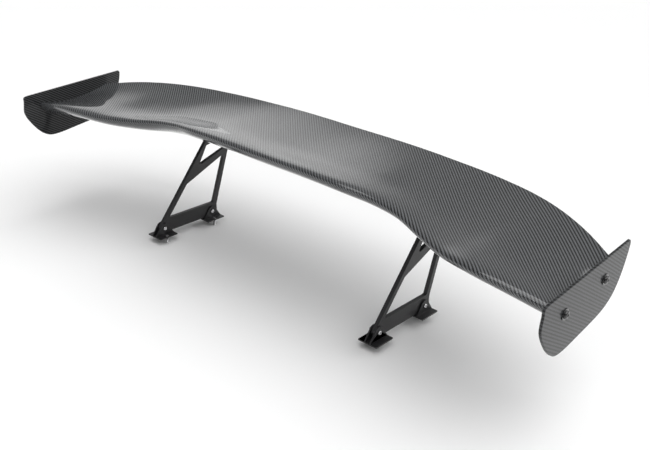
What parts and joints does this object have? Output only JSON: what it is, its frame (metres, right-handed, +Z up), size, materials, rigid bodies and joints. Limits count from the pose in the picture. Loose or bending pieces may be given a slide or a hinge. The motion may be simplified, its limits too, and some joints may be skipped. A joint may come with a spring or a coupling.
{
  "type": "racing rear wing",
  "caption": "Full-width carbon rear wing with a swept, twisted aerofoil and flat end plates, on two plate stands with tilting feet and an adjustable incidence.",
  "frame": {"origin": "centre of the four mounting studs, on the plane of the feet's undersides", "axes": "+X across the car towards its right-hand end plate, +Y rearwards, +Z up"},
  "size_m": [1.5624, 0.4585, 0.3438],
  "materials": {
    "wing_carbon": "clear-coated carbon twill, gloss",
    "plate_carbon": "clear-coated carbon twill, gloss",
    "inner_carbon": "bare carbon laminate",
    "foam": "rigid foam",
    "rib_aluminium": "machined",
    "hard_point": "resin-bonded laminate",
    "insert": "machined",
    "pad": "moulded",
    "bracket": "satin black powder coat",
    "stand": "satin black powder coat",
    "foot": "satin black powder coat",
    "black_fastener": "black oxide, oiled",
    "bright_steel": "stainless",
    "nut_steel": "zinc plated"
  },
  "bodies": {
    "stands": {"left_stand": "stand", "right_stand": "stand"},
    "wing": {"bracket_screws": "bright_steel", "end_plate_bolts": "black_fastener", "end_plate_washers": "black_fastener", "front_foam_core": "foam", "incidence_bolts": "bright_steel", "left_end_plate": "plate_carbon", "left_hard_point": "hard_point", "left_mount_bracket": "bracket", "left_mount_pad": "pad", "left_tip_rib": "rib_aluminium", "rear_foam_core": "foam", "right_end_plate": "plate_carbon", "right_hard_point": "hard_point", "right_mount_bracket": "bracket", "right_mount_pad": "pad", "right_tip_rib": "rib_aluminium", "screw_inserts": "insert", "shear_web": "inner_carbon", "tip_inserts": "insert", "wing_lower_skin": "wing_carbon", "wing_mount_nuts": "nut_steel", "wing_mount_washers": "black_fastener", "wing_pivot_bolts": "bright_steel", "wing_upper_skin": "wing_carbon"},
    "left_front_foot": {"left_front_foot": "foot", "left_front_foot_stud": "bright_steel", "left_front_foot_bolt": "bright_steel", "left_front_foot_nut": "nut_steel", "left_front_foot_washers": "black_fastener"},
    "left_rear_foot": {"left_rear_foot": "foot", "left_rear_foot_stud": "bright_steel", "left_rear_foot_bolt": "bright_steel", "left_rear_foot_nut": "nut_steel", "left_rear_foot_washers": "black_fastener"},
    "right_front_foot": {"right_front_foot": "foot", "right_front_foot_stud": "bright_steel", "right_front_foot_bolt": "bright_steel", "right_front_foot_nut": "nut_steel", "right_front_foot_washers": "black_fastener"},
    "right_rear_foot": {"right_rear_foot": "foot", "right_rear_foot_stud": "bright_steel", "right_rear_foot_bolt": "bright_steel", "right_rear_foot_nut": "nut_steel", "right_rear_foot_washers": "black_fastener"}
  },
  "joints": [
    {"name": "wing_incidence", "type": "hinge", "parent": "stands", "child": "wing", "pos_m": [0, 0.08561, 0.22446], "axis": [1, 0, 0], "range_deg": [-4, 4]},
    {"name": "left_front_foot_tilt", "type": "hinge", "parent": "stands", "child": "left_front_foot", "pos_m": [-0.355, -0.08, 0.02], "axis": [1, 0, 0], "range_deg": [-7, 7]},
    {"name": "left_rear_foot_tilt", "type": "hinge", "parent": "stands", "child": "left_rear_foot", "pos_m": [-0.355, 0.08, 0.02], "axis": [1, 0, 0], "range_deg": [-7, 7]},
    {"name": "right_front_foot_tilt", "type": "hinge", "parent": "stands", "child": "right_front_foot", "pos_m": [0.355, -0.08, 0.02], "axis": [1, 0, 0], "range_deg": [-7, 7]},
    {"name": "right_rear_foot_tilt", "type": "hinge", "parent": "stands", "child": "right_rear_foot", "pos_m": [0.355, 0.08, 0.02], "axis": [1, 0, 0], "range_deg": [-7, 7]}
  ]
}
